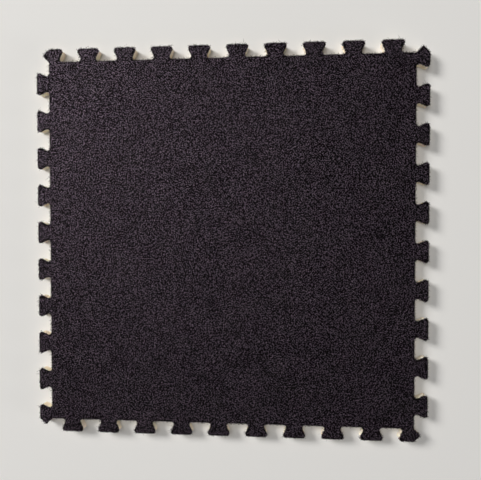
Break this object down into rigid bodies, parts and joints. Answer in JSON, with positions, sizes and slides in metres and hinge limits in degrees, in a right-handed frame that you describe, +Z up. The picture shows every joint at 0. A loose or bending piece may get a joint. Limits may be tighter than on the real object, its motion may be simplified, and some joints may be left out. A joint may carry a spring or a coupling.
{
  "type": "interlocking foam floor tile",
  "caption": "Square foam floor tile with a short-pile carpet top and puzzle teeth all round its edge that lock into like tiles.",
  "frame": {"origin": "middle of the underside, which lies on the floor at Z = 0", "axes": "+Z up, out of the carpet; +X and +Y square to the sides, with the picture's right side at +X and its top at +Y"},
  "size_m": [0.6304, 0.6304, 0.016],
  "materials": {
    "cream_foam": "matt closed-cell foam, die-cut edges",
    "charcoal_carpet": "short needle-felt pile, charcoal"
  },
  "bodies": {
    "root": {"foam_base": "cream_foam", "carpet_top": "charcoal_carpet"}
  },
  "joints": []
}
